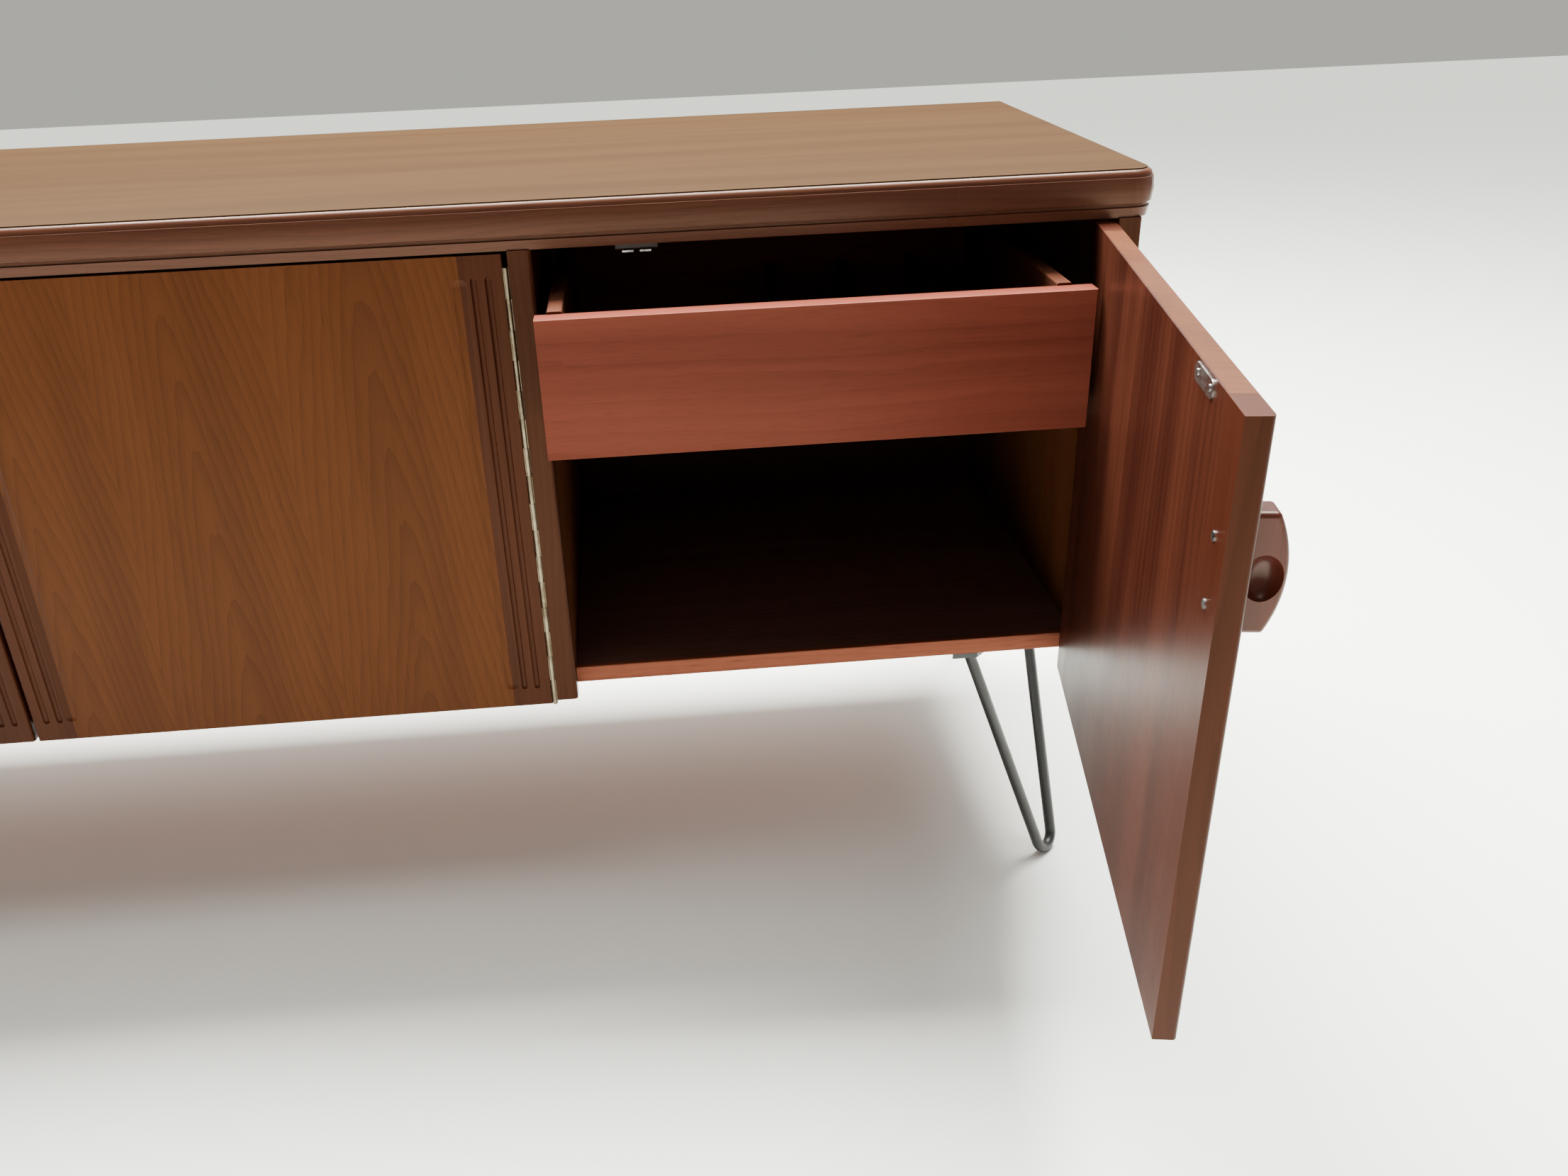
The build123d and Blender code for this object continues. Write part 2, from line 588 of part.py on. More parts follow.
# magnetic catches under the front rail: housing with two steel tabs side by side
with BuildPart() as catch_housings:
    for plane, side in CLOSED_PLANES:
        x = plane.origin.X - side * CATCH_FROM_HINGE
        block(
            x - CATCH_HALF_LONG,
            x + CATCH_HALF_LONG,
            CATCH_FRONT,
            CATCH_BACK,
            CARCASS_TOP - CATCH_HIGH,
            CARCASS_TOP,
        )
    fillet(catch_housings.edges().filter_by(Axis.X).group_by(Axis.Z)[0], 1.5)
save(catch_housings, "catch_housings")

with BuildPart() as catch_tabs:
    for plane, side in CLOSED_PLANES:
        for offset in (-TAB_APART / 2, TAB_APART / 2):
            x = plane.origin.X - side * CATCH_FROM_HINGE + offset
            tab_top = CARCASS_TOP - CATCH_HIGH
            block(x - TAB_HALF_WIDE, x + TAB_HALF_WIDE, TAB_FRONT, TAB_BACK, tab_top - TAB_THICK, tab_top)
save(catch_tabs, "catch_tabs")

# ---- drawer ----

DRAWER_X0 = PARTITION_OUTER + DRAWER_LEFT_GAP
DRAWER_X1 = END_INNER - DRAWER_RIGHT_GAP
DRAWER_Z0 = DOOR_BOTTOM + DRAWER_FRONT_BOTTOM
BOX_X0 = DRAWER_X0 + DRAWER_LEFT_OVERHANG
BOX_X1 = DRAWER_X1 - DRAWER_RIGHT_OVERHANG
BOX_Y0 = DRAWER_FRONT - DRAWER_PULLED
BOX_Y1 = DRAWER_LONG - DRAWER_PULLED
PLY_Z0 = DRAWER_Z0 + DRAWER_PLY_RAISED
PLY_Z1 = PLY_Z0 + DRAWER_PLY
SIDE_TOP = DRAWER_Z0 + DRAWER_FRONT_HEIGHT + 2.0
GROOVE = (BOX_X0 + DRAWER_SIDE - DRAWER_GROOVE, BOX_X1 - DRAWER_SIDE + DRAWER_GROOVE)

with BuildPart() as drawer_front:
    block(DRAWER_X0, DRAWER_X1, -DRAWER_PULLED, BOX_Y0, DRAWER_Z0, DRAWER_Z0 + DRAWER_FRONT_HEIGHT)
    fillet(drawer_front.faces().sort_by(Axis.Y)[0].edges(), 0.8)
    block(*GROOVE, BOX_Y0 - DRAWER_GROOVE, BOX_Y0, PLY_Z0, PLY_Z1, mode=Mode.SUBTRACT)
save(drawer_front, "drawer_front")

for name, x0 in (("left", BOX_X0), ("right", BOX_X1 - DRAWER_SIDE)):
    with BuildPart() as drawer_side:
        block(x0, x0 + DRAWER_SIDE, BOX_Y0, BOX_Y1, DRAWER_Z0, SIDE_TOP)
        fillet(drawer_side.edges().filter_by(Axis.Y).group_by(Axis.Z)[-1], 1.5)
        block(*GROOVE, BOX_Y0, BOX_Y1, PLY_Z0, PLY_Z1, mode=Mode.SUBTRACT)
    save(drawer_side, f"drawer_side_{name}")

with BuildPart() as drawer_back:
    block(BOX_X0 + DRAWER_SIDE, BOX_X1 - DRAWER_SIDE, BOX_Y1 - DRAWER_BACK, BOX_Y1, PLY_Z1, SIDE_TOP - 6)
save(drawer_back, "drawer_back")

with BuildPart() as drawer_bottom:
    block(*GROOVE, BOX_Y0 - DRAWER_GROOVE, BOX_Y1, PLY_Z0, PLY_Z1)
save(drawer_bottom, "drawer_bottom")

with BuildPart() as drawer_dividers:
    for i in range(DIVIDERS):
        x = BOX_X1 - DRAWER_SIDE - FIRST_DIVIDER - i * DIVIDER_PITCH
        block(x, x + DIVIDER, BOX_Y0, BOX_Y1 - DRAWER_BACK, PLY_Z1, PLY_Z1 + DIVIDER_HEIGHT)
save(drawer_dividers, "drawer_dividers")

# runner boards under the drawer sides, the right one wide enough to clear the open door
with BuildPart() as drawer_runners:
    runner_top = DRAWER_Z0 - RUNNER_GAP
    for x0, x1 in ((PARTITION_OUTER, BOX_X0 + DRAWER_SIDE), (BOX_X1 - DRAWER_SIDE, END_INNER)):
        block(x0, x1, RUNNER_FRONT, INSIDE_DEPTH - 3, runner_top - RUNNER_THICK, runner_top)
save(drawer_runners, "drawer_runners")

# ---- hairpin legs ----

ROD_TOP = LEG_HEIGHT - PLATE_THICK
LEG_SLANT = hypot(LEG_SPLAY, ROD_TOP - ROD_RADIUS)


def make_leg(right, back, name):
    middle, along, out = leg_frame(right, back)
    down = (out * LEG_SPLAY - Vector(0, 0, ROD_TOP - ROD_RADIUS)).normalized()
    slanted = Plane(origin=middle + Vector(0, 0, ROD_TOP), x_dir=along, z_dir=along.cross(down))

    # tangent points between the straight rods and the bend at the foot
    bend_y = LEG_SLANT - LEG_BEND_RADIUS
    reach = hypot(ROD_HALF_SPREAD, bend_y)
    turn = acos(LEG_BEND_RADIUS / reach) + atan2(-bend_y, ROD_HALF_SPREAD)
    touch = (LEG_BEND_RADIUS * cos(turn), bend_y + LEG_BEND_RADIUS * sin(turn))
    slope = (ROD_HALF_SPREAD - touch[0]) / touch[1]
    above = 8.0
    top_x = ROD_HALF_SPREAD + above * slope

    with BuildPart() as leg:
        with BuildLine(slanted) as path:
            Line((-top_x, -above), (-touch[0], touch[1]))
            ThreePointArc((-touch[0], touch[1]), (0, LEG_SLANT), touch)
            Line(touch, (top_x, -above))
        with BuildSketch(Plane(origin=path.line @ 0, z_dir=path.line % 0)):
            Circle(ROD_RADIUS)
        sweep()
        split(bisect_by=Plane.XY.offset(ROD_TOP), keep=Keep.BOTTOM)
    save(leg, f"hairpin_leg_{name}")


for right, back in LEG_CORNERS:
    make_leg(right, back, f"{'back' if back > 0 else 'front'}_{'right' if right > 0 else 'left'}")


# plates welded to the rods; each end is cut parallel to the nearest side of the sideboard
with BuildPart() as leg_plates:
    for right, back in LEG_CORNERS:
        middle = leg_frame(right, back)[0]
        cut = PLATE_HALF_WIDTH * sqrt(2)
        with BuildSketch(Plane(origin=middle + Vector(0, 0, ROD_TOP))):
            with BuildLine():
                Polyline(
                    (right * -(PLATE_REACH + cut), back * PLATE_REACH),
                    (right * -(PLATE_REACH - cut), back * PLATE_REACH),
                    (right * PLATE_REACH, back * -(PLATE_REACH - cut)),
                    (right * PLATE_REACH, back * -(PLATE_REACH + cut)),
                    (right * -(PLATE_REACH + cut), back * PLATE_REACH),
                )
            make_face()
        extrude(amount=PLATE_THICK)
    bores(leg_screw_places(ROD_TOP), (0, 0, 1), LEG_SCREW_RADIUS, PLATE_THICK)
save(leg_plates, "leg_plates")

with BuildPart() as leg_screws:
    in_board = PLATE_THICK + LEG_SCREW_IN_BOARD
    screws(leg_screw_places(ROD_TOP), (0, 0, 1), *LEG_SCREW_HEAD, LEG_SCREW_RADIUS, in_board)
save(leg_screws, "leg_screws")
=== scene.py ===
# Four-door teak sideboard on black hairpin legs, its right door and drawer open.
import json
import math
import bpy
from mathutils import Euler, Matrix, Vector

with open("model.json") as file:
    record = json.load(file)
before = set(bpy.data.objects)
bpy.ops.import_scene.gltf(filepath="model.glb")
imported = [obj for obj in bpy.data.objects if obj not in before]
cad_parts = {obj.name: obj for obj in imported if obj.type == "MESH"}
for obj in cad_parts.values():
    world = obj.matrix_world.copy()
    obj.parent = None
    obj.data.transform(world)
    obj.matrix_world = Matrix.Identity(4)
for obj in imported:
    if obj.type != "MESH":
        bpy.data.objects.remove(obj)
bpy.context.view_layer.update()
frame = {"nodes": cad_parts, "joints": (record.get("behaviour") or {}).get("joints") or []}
nodes = frame["nodes"]
bpy.ops.object.select_all(action="DESELECT")

# Camera at standing height, close to the front and a little right of centre, looking down.
camera_turn = Euler((math.radians(63.06), 0, math.radians(-3.69))).to_matrix()
camera_lean = Matrix.Rotation(math.radians(-2.3), 3, "Z")
bpy.ops.object.camera_add(location=(0.573, -1.037, 0.861))
camera = bpy.context.object
camera.rotation_euler = (camera_turn @ camera_lean).to_euler()
camera.data.sensor_width = 36
camera.data.lens = 29.7
camera.data.shift_x = 0.0313
bpy.context.scene.camera = camera


# ---------------------------------------------------------------------------
# Top: a flat panel of straight-grained teak veneer inside the moulded edge.
# The veneer is oiled and worn a little dull, so it is paler than the edging.
# ---------------------------------------------------------------------------
def new_group(name, inputs, outputs):
    """An empty shader node group with named sockets."""
    group = bpy.data.node_groups.new(name, "ShaderNodeTree")
    for label, kind, value in inputs:
        group.interface.new_socket(label, in_out="INPUT", socket_type=kind).default_value = value
    for label, kind in outputs:
        group.interface.new_socket(label, in_out="OUTPUT", socket_type=kind)
    return group, group.nodes.new("NodeGroupInput").outputs, group.nodes.new("NodeGroupOutput").inputs


def join(tree, value, socket):
    """Link a socket, or set a plain value."""
    if isinstance(value, bpy.types.NodeSocket):
        tree.links.new(value, socket)
    else:
        socket.default_value = value


def reckon(tree, operation, *values):
    sum_node = tree.nodes.new("ShaderNodeMath")
    sum_node.operation = operation
    for value, socket in zip(values, sum_node.inputs):
        join(tree, value, socket)
    return sum_node.outputs[0]


def stretch(tree, vector, scale):
    """A vector with each axis scaled, for patterns that run with the grain."""
    scaled = tree.nodes.new("ShaderNodeVectorMath")
    scaled.operation = "MULTIPLY"
    join(tree, vector, scaled.inputs[0])
    scaled.inputs[1].default_value = scale
    return scaled.outputs[0]


def mottle(tree, vector, scale, detail=2.0, rough=0.5):
    noise = tree.nodes.new("ShaderNodeTexNoise")
    join(tree, vector, noise.inputs["Vector"])
    noise.inputs["Scale"].default_value = scale
    noise.inputs["Detail"].default_value = detail
    noise.inputs["Roughness"].default_value = rough
    return noise.outputs


def between(tree, value, low, high):
    """0 below low, 1 above high, smooth in between."""
    ramp = tree.nodes.new("ShaderNodeMapRange")
    ramp.interpolation_type = "SMOOTHSTEP"
    join(tree, value, ramp.inputs[0])
    ramp.inputs[1].default_value = low
    ramp.inputs[2].default_value = high
    return ramp.outputs[0]


def tint(tree, factor, first, second, blend="MIX"):
    mix = tree.nodes.new("ShaderNodeMix")
    mix.data_type = "RGBA"
    mix.blend_type = blend
    join(tree, factor, mix.inputs[0])
    join(tree, first, mix.inputs[6])
    join(tree, second, mix.inputs[7])
    return mix.outputs[2]


def make_timber_group():
    """Timber whose X runs across the face, Y into it and Z along the grain, in metres.

    Flower turns straight stripes into the nested arches of crown-cut veneer.
    """
    group, given, result = new_group(
        "timber",
        [
            ("Vector", "NodeSocketVector", (0, 0, 0)),
            ("Pale", "NodeSocketColor", (0.5, 0.3, 0.2, 1)),
            ("Deep", "NodeSocketColor", (0.3, 0.1, 0.05, 1)),
            ("Pore", "NodeSocketColor", (0.05, 0.02, 0.01, 1)),
            ("Ring Width", "NodeSocketFloat", 0.006),
            ("Flower", "NodeSocketFloat", 0.0),
            ("Leaf Width", "NodeSocketFloat", 1.0),
            ("Figure", "NodeSocketFloat", 0.6),
            ("Bands", "NodeSocketFloat", 0.4),
            ("Pores", "NodeSocketFloat", 0.5),
            ("Gloss", "NodeSocketFloat", 0.4),
        ],
        [("Color", "NodeSocketColor"), ("Roughness", "NodeSocketFloat"), ("Height", "NodeSocketFloat")],
    )
    place = given["Vector"]

    # slow wander of the grain
    wander = mottle(group, stretch(group, place, (5.0, 5.0, 1.6)), 1.0, 3.0)
    drift = group.nodes.new("ShaderNodeVectorMath")
    drift.operation = "MULTIPLY_ADD"
    group.links.new(wander["Color"], drift.inputs[0])
    drift.inputs[1].default_value = (0.045, 0.03, 0.12)
    group.links.new(place, drift.inputs[2])
    parts = group.nodes.new("ShaderNodeSeparateXYZ")
    group.links.new(drift.outputs[0], parts.inputs[0])

    # straight stripes, and arches made of a hyperbola in each leaf of veneer
    across = reckon(group, "ADD", parts.outputs["X"], reckon(group, "MULTIPLY", parts.outputs["Y"], 0.4))
    folded = reckon(group, "PINGPONG", parts.outputs["X"], given["Leaf Width"])
    squared = reckon(group, "MULTIPLY", folded, folded)
    arch = reckon(group, "SQRT", reckon(group, "ADD", squared, 0.00012))
    arch = reckon(group, "ADD", arch, reckon(group, "MULTIPLY", parts.outputs["Z"], 0.13))
    arches = reckon(group, "MULTIPLY", reckon(group, "SUBTRACT", arch, across), given["Flower"])
    rings = reckon(group, "DIVIDE", reckon(group, "ADD", across, arches), given["Ring Width"])
    uneven = mottle(group, stretch(group, place, (60.0, 60.0, 3.0)), 1.0, 2.0)["Fac"]
    rings = reckon(group, "ADD", rings, reckon(group, "MULTIPLY", uneven, 1.3))
    late_wood = reckon(group, "POWER", reckon(group, "FRACT", rings), 2.2)

    # stripes of a few rings that are darker together, fibres and pores
    broad = mottle(group, stretch(group, drift.outputs[0], (26.0, 26.0, 1.1)), 1.0, 3.0)["Fac"]
    bands = between(group, broad, 0.35, 0.68)
    fibres = mottle(group, stretch(group, place, (900.0, 900.0, 16.0)), 1.0, 2.0)["Fac"]
    dashes = mottle(group, stretch(group, place, (1500.0, 1500.0, 46.0)), 1.0, 1.0)["Fac"]
    pores = between(group, dashes, 0.56, 0.68)
    pores = reckon(group, "MULTIPLY", pores, given["Pores"])

    shade = reckon(group, "MULTIPLY", late_wood, given["Figure"])
    shade = reckon(group, "ADD", shade, reckon(group, "MULTIPLY", bands, given["Bands"]))
    fibre_shade = reckon(group, "MULTIPLY", reckon(group, "SUBTRACT", fibres, 0.5), 0.3)
    shade = reckon(group, "ADD", shade, fibre_shade)
    limited = group.nodes.new("ShaderNodeClamp")
    group.links.new(shade, limited.inputs[0])
    colour = tint(group, limited.outputs[0], given["Pale"], given["Deep"])
    colour = tint(group, pores, colour, given["Pore"])

    smudges = mottle(group, place, 9.0, 3.0, 0.6)["Fac"]
    handled = reckon(group, "MULTIPLY", reckon(group, "SUBTRACT", smudges, 0.5), 0.16)
    rough = reckon(group, "ADD", given["Gloss"], handled)
    rough = reckon(group, "ADD", rough, reckon(group, "MULTIPLY", pores, 0.22))
    height = reckon(group, "SUBTRACT", reckon(group, "MULTIPLY", fibres, 0.35), pores)

    group.links.new(colour, result["Color"])
    group.links.new(rough, result["Roughness"])
    group.links.new(height, result["Height"])
    return group


timber = make_timber_group()


def new_finish(name):
    finish = bpy.data.materials.new(name)
    finish.use_nodes = True
    return finish, finish.node_tree, finish.node_tree.nodes["Principled BSDF"]


def board_place(tree, across, deep, along, hinge=None, turn=0.0, shift=(0, 0, 0)):
    """Object coordinates turned into the board's own: across, into and along the grain."""
    coordinates = tree.nodes.new("ShaderNodeTexCoord").outputs["Object"]
    if hinge is not None:
        back = Matrix.Rotation(-turn, 3, "Z")
        shut = tree.nodes.new("ShaderNodeMapping")
        shut.inputs["Location"].default_value = -(back @ Vector(hinge))
        shut.inputs["Rotation"].default_value = (0, 0, -turn)
        tree.links.new(coordinates, shut.inputs["Vector"])
        coordinates = shut.outputs[0]
    parts = tree.nodes.new("ShaderNodeSeparateXYZ")
    tree.links.new(coordinates, parts.inputs[0])
    whole = tree.nodes.new("ShaderNodeCombineXYZ")
    for axis, socket in zip((across, deep, along), whole.inputs):
        tree.links.new(parts.outputs[axis], socket)
    moved = tree.nodes.new("ShaderNodeMapping")
    moved.inputs["Location"].default_value = shift
    tree.links.new(whole.outputs[0], moved.inputs["Vector"])
    return moved.outputs[0]


def timber_finish(name, across, deep, along, pale, dark, pore=(0.03, 0.01, 0.005), ring=0.006, flower=0.0,
                  leaf=1.0, figure=0.4, bands=0.45, pores=0.3, gloss=0.42, coat=0.0, relief=0.00008,
                  sheen=0.12, **where):
    """Oiled timber: the grain group with its own colours, driving colour, roughness and a fine relief."""
    finish, tree, shader = new_finish(name)
    grain = tree.nodes.new("ShaderNodeGroup")
    grain.node_tree = timber
    tree.links.new(board_place(tree, across, deep, along, **where), grain.inputs["Vector"])
    for label, colour in (("Pale", pale), ("Deep", dark), ("Pore", pore)):
        grain.inputs[label].default_value = (*colour, 1)
    for label, value in (("Ring Width", ring), ("Flower", flower), ("Leaf Width", leaf), ("Figure", figure),
                         ("Bands", bands), ("Pores", pores), ("Gloss", gloss)):
        grain.inputs[label].default_value = value
    tree.links.new(grain.outputs["Color"], shader.inputs["Base Color"])
    tree.links.new(grain.outputs["Roughness"], shader.inputs["Roughness"])
    bump = tree.nodes.new("ShaderNodeBump")
    bump.inputs["Strength"].default_value = 0.6
    bump.inputs["Distance"].default_value = relief
    tree.links.new(grain.outputs["Height"], bump.inputs["Height"])
    tree.links.new(bump.outputs[0], shader.inputs["Normal"])
    shader.inputs["Specular IOR Level"].default_value = sheen
    shader.inputs["Specular Tint"].default_value = (1.0, 0.62, 0.38, 1)
    shader.inputs["Coat Weight"].default_value = coat
    shader.inputs["Coat Roughness"].default_value = 0.3
    return finish


def dress(finish, *names):
    """Give CAD pieces their finish."""
    for name in names:
        piece = nodes[name]
        piece.data.materials.clear()
        piece.data.materials.append(finish)


top_veneer = timber_finish(
    "top_veneer", "Y", "Z", "X", (0.034, 0.0165, 0.0054), (0.0225, 0.0098, 0.0031),
    ring=0.011, figure=0.22, bands=0.5, pores=0.2, gloss=0.55, sheen=0.03, shift=(0.3, 0, 0.2))
dress(top_veneer, "top_panel")


# ---------------------------------------------------------------------------
# Moulded edge of the top: deep solid teak with a round shoulder and a quirk.
# It is darker than the veneer, mitred at the corners and polished by hands.
# ---------------------------------------------------------------------------
moulding_colours = {"pale": (0.082, 0.029, 0.016), "dark": (0.035, 0.011, 0.007)}
dress(timber_finish("moulding_front", "Z", "Y", "X", ring=0.006, figure=0.3, gloss=0.30, coat=0.1,
                    **moulding_colours), "top_moulding_front")
dress(timber_finish("moulding_ends", "Z", "X", "Y", ring=0.006, figure=0.3, gloss=0.30, coat=0.1,
                    **moulding_colours), "top_moulding_ends")


# ---------------------------------------------------------------------------
# Frame under the top: softwood rails and cross battens, planed and left bare.
# They are glued under the panel, out of sight behind the moulded edge.
# ---------------------------------------------------------------------------
softwood = {"pale": (0.21, 0.130, 0.062), "dark": (0.14, 0.076, 0.032), "pore": (0.08, 0.04, 0.02),
            "pores": 0.15, "gloss": 0.62, "ring": 0.007}
dress(timber_finish("softwood_rails", "Y", "Z", "X", **softwood), "top_rails")
dress(timber_finish("softwood_battens", "X", "Z", "Y", **softwood), "top_battens")


# ---------------------------------------------------------------------------
# Carcass: veneered end panels, partitions, bottom, shelves and drawer runners.
# The uprights match the doors; the level boards are a cooler, duller brown.
# ---------------------------------------------------------------------------
upright_colours = {"pale": (0.078, 0.025, 0.0085), "dark": (0.038, 0.0105, 0.0040)}
level_colours = {"pale": (0.150, 0.070, 0.052), "dark": (0.084, 0.038, 0.028)}
dress(timber_finish("carcass_upright_right", "Y", "X", "Z", ring=0.007, gloss=0.38, shift=(0.4, 0.2, -0.5),
                    **upright_colours), "end_panel_right", "partition_right")
dress(timber_finish("carcass_upright_left", "Y", "X", "Z", ring=0.007, gloss=0.38, shift=(1.4, 0.7, 0.3),
                    **upright_colours), "end_panel_left", "partition_left")
dress(timber_finish("carcass_level", "Y", "Z", "X", ring=0.008, gloss=0.36, shift=(0.1, 0.3, 0),
                    **level_colours), "bottom_panel", "shelf_centre", "shelf_left")
dress(timber_finish("runner_teak", "X", "Z", "Y", ring=0.006, **level_colours), "drawer_runners")


# ---------------------------------------------------------------------------
# Solid teak posts between the bays and lippings on the boards' front edges.
# The lipping of the bottom board is a lighter, pinker strip.
# ---------------------------------------------------------------------------
dress(timber_finish("post_teak", "X", "Y", "Z", (0.055, 0.0175, 0.009), (0.029, 0.008, 0.0045), ring=0.006,
                    figure=0.35, gloss=0.36, shift=(0.15, 0, 0.1)), "posts", "end_lippings")
dress(timber_finish("lipping_teak", "Z", "Y", "X", (0.24, 0.072, 0.040), (0.15, 0.040, 0.022), ring=0.006,
                    figure=0.3, gloss=0.42), "bottom_lipping")


# ---------------------------------------------------------------------------
# Back panel and drawer bottom: thin brown hardboard, nailed from behind.
# Its pressed fibres show as fine speckles on a matt face.
# ---------------------------------------------------------------------------
def hardboard_finish():
    finish, tree, shader = new_finish("hardboard")
    place = tree.nodes.new("ShaderNodeTexCoord").outputs["Object"]
    specks = mottle(tree, place, 900.0, 4.0, 0.7)["Fac"]
    clouds = mottle(tree, place, 14.0, 3.0, 0.6)["Fac"]
    shade = reckon(tree, "ADD", reckon(tree, "MULTIPLY", between(tree, specks, 0.38, 0.62), 0.6),
                   reckon(tree, "MULTIPLY", clouds, 0.5))
    colour = tint(tree, shade, (0.030, 0.0125, 0.0072, 1), (0.060, 0.0265, 0.0155, 1))
    tree.links.new(colour, shader.inputs["Base Color"])
    rough = reckon(tree, "ADD", reckon(tree, "MULTIPLY", specks, 0.25), 0.48)
    tree.links.new(rough, shader.inputs["Roughness"])
    bump = tree.nodes.new("ShaderNodeBump")
    bump.inputs["Strength"].default_value = 0.5
    bump.inputs["Distance"].default_value = 0.0001
    tree.links.new(specks, bump.inputs["Height"])
    tree.links.new(bump.outputs[0], shader.inputs["Normal"])
    shader.inputs["Specular IOR Level"].default_value = 0.1
    return finish


dress(hardboard_finish(), "back_panel", "drawer_bottom")


# ---------------------------------------------------------------------------
# Doors: crown-cut teak veneer between two reeded solid stiles, with a handle.
# Each door's veneer is cut from its own leaves, so the arches differ.
# ---------------------------------------------------------------------------
INNER_VENEER_FROM, INNER_VENEER_BY = 0.0145, 0.0150    # metres in from the front face
door_names = ("right_door", "centre_right_door", "centre_left_door", "left_door")
hinges = {joint["child"]: joint for joint in frame["joints"] if joint["type"] == "hinge"}
for number, door in enumerate(door_names):
    hinge = hinges[door]
    rest_angle = math.radians(-hinge["range_deg"][0]) * hinge["axis"][2]
    hung = {"hinge": hinge["pos_m"], "turn": rest_angle}
    veneer = timber_finish(
        f"{door}_veneer", "X", "Y", "Z", (0.081, 0.0238, 0.0072), (0.038, 0.0096, 0.0030), ring=0.0075,
        flower=1.0, leaf=0.075, figure=0.36, bands=0.35, pores=0.25, gloss=0.36,
        shift=(0.232 + 0.31 * number, 0, 0.1 - 0.17 * number), **hung)
    # the inner face has a redder, straight-grained balancing veneer
    tree = veneer.node_tree
    outer = next(n for n in tree.nodes if n.type == "GROUP")
    inner = tree.nodes.new("ShaderNodeGroup")
    inner.node_tree = timber
    for socket, match in zip(inner.inputs, outer.inputs):
        if socket.name != "Vector":
            socket.default_value = match.default_value
    tree.links.new(outer.inputs["Vector"].links[0].from_socket, inner.inputs["Vector"])
    inner.inputs["Pale"].default_value = (0.049, 0.0132, 0.0070, 1)
    inner.inputs["Deep"].default_value = (0.020, 0.0044, 0.0028, 1)
    inner.inputs["Flower"].default_value = 0.0
    inner.inputs["Ring Width"].default_value = 0.012
    inner.inputs["Bands"].default_value = 0.75
    split = tree.nodes.new("ShaderNodeSeparateXYZ")
    tree.links.new(outer.inputs["Vector"].links[0].from_socket, split.inputs[0])
    inside = between(tree, split.outputs["Y"], INNER_VENEER_FROM, INNER_VENEER_BY)
    shader = tree.nodes["Principled BSDF"]
    faced = tint(tree, inside, outer.outputs["Color"], inner.outputs["Color"])
    tree.links.new(faced, shader.inputs["Base Color"])
    stile = timber_finish(
        f"{door}_stile_teak", "X", "Y", "Z", (0.046, 0.0118, 0.006), (0.022, 0.0052, 0.003), ring=0.006,
        figure=0.35, gloss=0.34, shift=(0.5 * number, 0.2, 0.7 * number), **hung)
    handle = timber_finish(
        f"{door}_handle_teak", "X", "Y", "Z", (0.074, 0.0165, 0.0095), (0.036, 0.0074, 0.0045), ring=0.004,
        figure=0.4, pores=0.2, gloss=0.2, coat=0.4, shift=(0.1 * number, 0.4, 0.3 * number), **hung)
    dress(veneer, f"{door}_panel")
    dress(stile, f"{door}_stiles")
    dress(handle, f"{door}_handle")


# ---------------------------------------------------------------------------
# Drawer: solid teak front and sides with three dividers, on a hardboard bottom.
# The front is redder than the doors, with its grain lying across.
# ---------------------------------------------------------------------------
dress(timber_finish("drawer_front_teak", "Z", "Y", "X", (0.140, 0.032, 0.020), (0.084, 0.0168, 0.0105),
                    ring=0.016, figure=0.22, bands=0.6, pores=0.2, gloss=0.36, shift=(0.25, 0, 0.4)),
      "drawer_front")
drawer_colours = {"pale": (0.105, 0.036, 0.021), "dark": (0.052, 0.017, 0.010)}
dress(timber_finish("drawer_side_teak", "Z", "X", "Y", ring=0.007, **drawer_colours),
      "drawer_side_left", "drawer_side_right", "drawer_dividers")
dress(timber_finish("drawer_back_teak", "Z", "Y", "X", ring=0.007, **drawer_colours), "drawer_back")


# ---------------------------------------------------------------------------
# Piano hinges: rolled brass leaves with interlocking knuckles round a thin pin,
# let in between each door's edge and the carcass, gone dull with age.
# ---------------------------------------------------------------------------
def metal_finish(name, bright, dull, scale, low, high, metallic=1.0, relief=0.00003):
    """Metal with a patchy tarnish and fine scratches."""
    finish, tree, shader = new_finish(name)
    place = tree.nodes.new("ShaderNodeTexCoord").outputs["Object"]
    patches = mottle(tree, place, scale, 4.0, 0.65)["Fac"]
    fine = mottle(tree, place, scale * 14.0, 2.0, 0.6)["Fac"]
    worn = between(tree, patches, 0.36, 0.66)
    tree.links.new(tint(tree, worn, (*bright, 1), (*dull, 1)), shader.inputs["Base Color"])
    spread = reckon(tree, "ADD", reckon(tree, "MULTIPLY", worn, high - low), low)
    spread = reckon(tree, "ADD", spread, reckon(tree, "MULTIPLY", reckon(tree, "SUBTRACT", fine, 0.5), 0.12))
    tree.links.new(spread, shader.inputs["Roughness"])
    bump = tree.nodes.new("ShaderNodeBump")
    bump.inputs["Strength"].default_value = 0.5
    bump.inputs["Distance"].default_value = relief
    tree.links.new(fine, bump.inputs["Height"])
    tree.links.new(bump.outputs[0], shader.inputs["Normal"])
    shader.inputs["Metallic"].default_value = metallic
    return finish


brass = metal_finish("hinge_brass", (0.20, 0.165, 0.11), (0.12, 0.092, 0.058), 60.0, 0.3, 0.45)
dress(brass, "hinge_frame_leaves", "hinge_pins", "hinge_frame_screws")
for door in door_names:
    dress(brass, f"{door}_hinge_leaf")


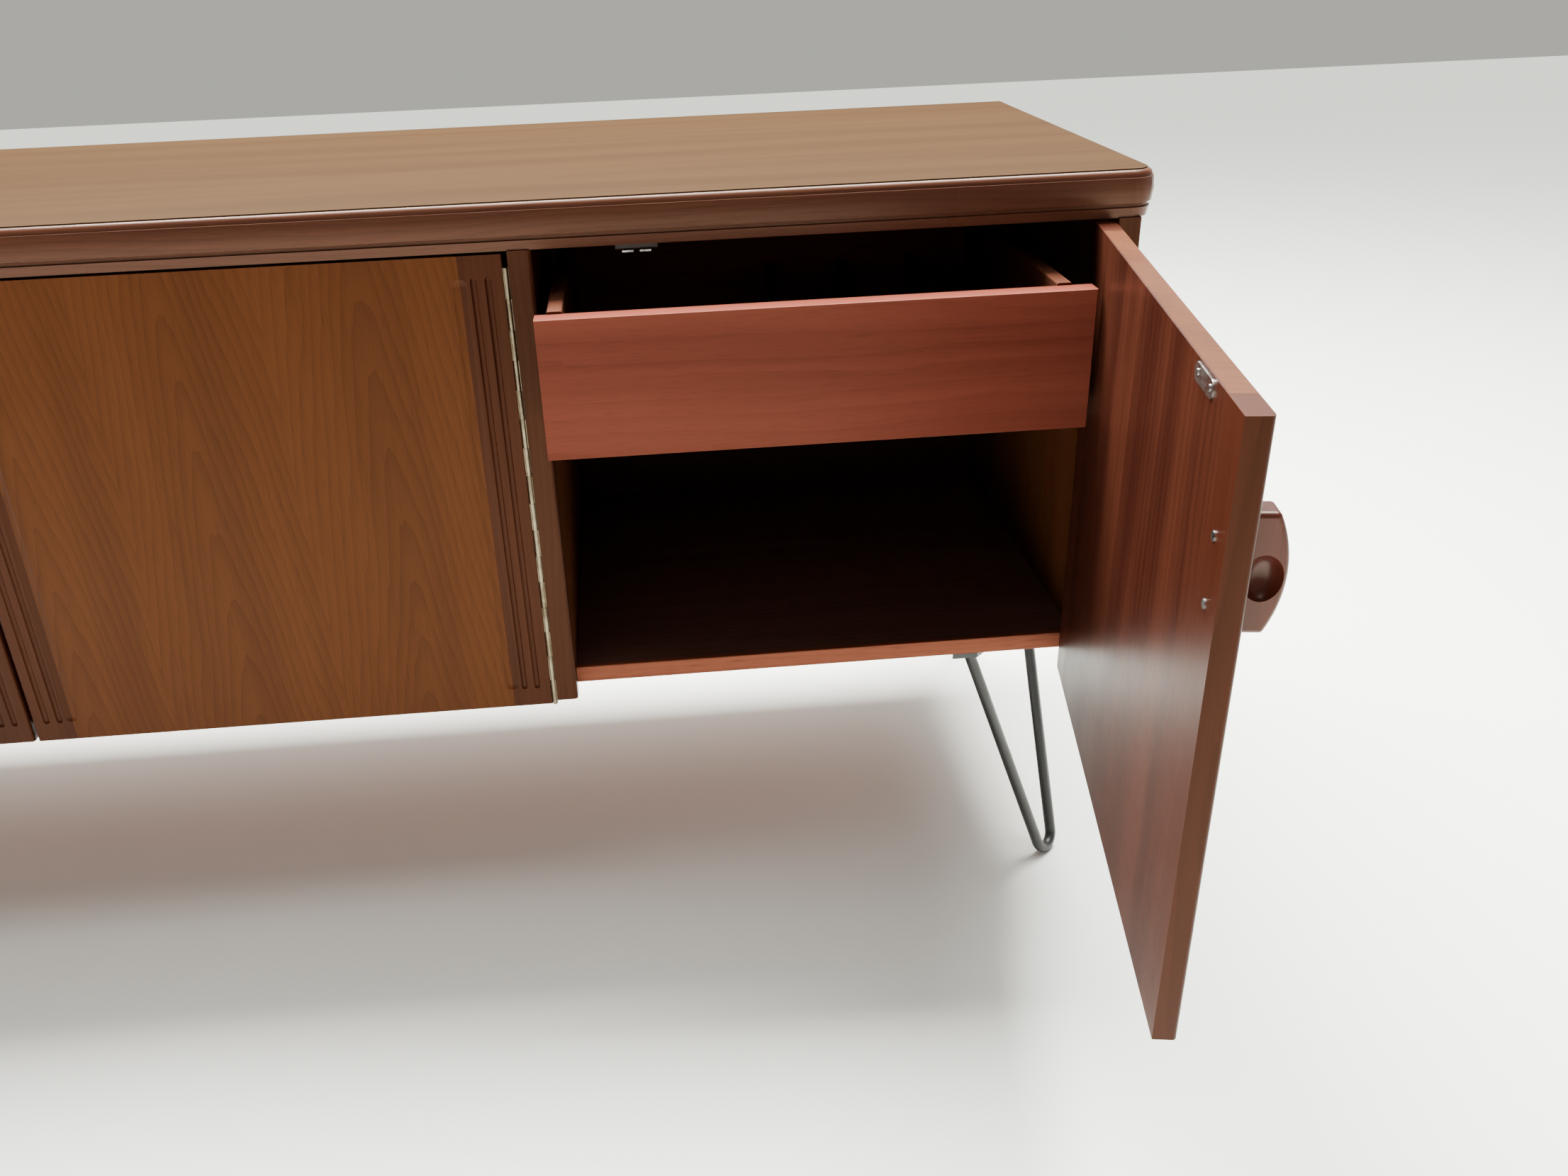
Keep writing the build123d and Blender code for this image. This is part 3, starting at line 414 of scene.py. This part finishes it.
# ---------------------------------------------------------------------------
# Catches: dark moulded housings under the front rail with two steel tabs each,
# and the plated strike plates and small screws that the doors carry.
# ---------------------------------------------------------------------------
catch_plastic = metal_finish("catch_plastic", (0.028, 0.018, 0.014), (0.045, 0.031, 0.025), 40.0, 0.42, 0.58,
                             metallic=0.0)
dress(catch_plastic, "catch_housings")
plated = metal_finish("plated_steel", (0.42, 0.41, 0.39), (0.24, 0.235, 0.225), 90.0, 0.25, 0.45)
dress(plated, "catch_tabs", "shelf_pegs")
for door in door_names:
    dress(plated, f"{door}_strike_plate", f"{door}_screws")


# ---------------------------------------------------------------------------
# Nails of the back panel and screws of the legs: mild steel with a black oxide.
# ---------------------------------------------------------------------------
black_oxide = metal_finish("black_oxide", (0.05, 0.05, 0.055), (0.10, 0.09, 0.08), 120.0, 0.35, 0.55, 0.8)
dress(black_oxide, "back_panel_nails", "leg_screws")


# ---------------------------------------------------------------------------
# Hairpin legs: bent steel rod welded to flat plates, in satin black powder coat
# whose fine orange-peel shows as a faint relief.
# ---------------------------------------------------------------------------
powder_coat = metal_finish("powder_coat", (0.010, 0.010, 0.011), (0.018, 0.0175, 0.0175), 25.0, 0.36, 0.5,
                           metallic=0.0, relief=0.00006)
for corner in ("front_right", "back_right", "front_left", "back_left"):
    dress(powder_coat, f"hairpin_leg_{corner}")
dress(powder_coat, "leg_plates")


# ---------------------------------------------------------------------------
# Setting: a plain pale floor, with soft studio light from above and behind,
# so that the top is bright and the open bay stays dark.
# ---------------------------------------------------------------------------
bpy.ops.mesh.primitive_plane_add(size=14, location=(0, 0, 0))
floor = bpy.context.object
floor.name = "floor"
floor_paint, floor_tree, floor_shader = new_finish("floor_paint")
floor_place = floor_tree.nodes.new("ShaderNodeTexCoord").outputs["Object"]
floor_tone = mottle(floor_tree, floor_place, 1.4, 4.0, 0.5)["Fac"]
floor_tree.links.new(tint(floor_tree, floor_tone, (0.86, 0.87, 0.82, 1), (0.89, 0.90, 0.86, 1)),
                     floor_shader.inputs["Base Color"])
floor_shader.inputs["Roughness"].default_value = 0.75
floor_shader.inputs["Specular IOR Level"].default_value = 0.1
floor.data.materials.append(floor_paint)


def soft_light(kind, name, place, target, strength, colour):
    bpy.ops.object.light_add(type=kind, location=place)
    lamp = bpy.context.object
    lamp.name = name
    lamp.data.energy = strength
    lamp.data.color = colour
    lamp.rotation_euler = (Vector(target) - Vector(place)).to_track_quat("-Z", "Y").to_euler()
    return lamp.data


key = soft_light("AREA", "key", (0.5, 0.95, 2.6), (0.45, -0.6, 0.0), 720, (1.0, 1.0, 0.95))
key.shape = "RECTANGLE"
key.size = 2.8
key.size_y = 1.3
overhead = soft_light("SUN", "overhead", (0.5, 0.7, 2.9), (0.5, -0.1, 0.0), 3.6, (1.0, 1.0, 0.95))
overhead.angle = math.radians(70)

# the room: pale walls behind and above, dim in front, so that the open bay stays dark
world = bpy.data.worlds.new("studio")
world.use_nodes = True
room = world.node_tree
toward = room.nodes.new("ShaderNodeSeparateXYZ")
room.links.new(room.nodes.new("ShaderNodeTexCoord").outputs["Generated"], toward.inputs[0])
behind = between(room, toward.outputs["Y"], -0.05, 0.5)
walls = reckon(room, "ADD", 0.6, reckon(room, "MULTIPLY", behind, 0.6))
walls_light = room.nodes["Background"]
walls_light.inputs["Color"].default_value = (0.62, 0.62, 0.60, 1)
room.links.new(walls, walls_light.inputs["Strength"])
wash = room.nodes.new("ShaderNodeBackground")
wash.inputs["Color"].default_value = (0.50, 0.495, 0.45, 1)
choose = room.nodes.new("ShaderNodeMixShader")
room.links.new(room.nodes.new("ShaderNodeLightPath").outputs["Is Camera Ray"], choose.inputs[0])
room.links.new(walls_light.outputs[0], choose.inputs[1])
room.links.new(wash.outputs[0], choose.inputs[2])
room.links.new(choose.outputs[0], room.nodes["World Output"].inputs["Surface"])
bpy.context.scene.world = world
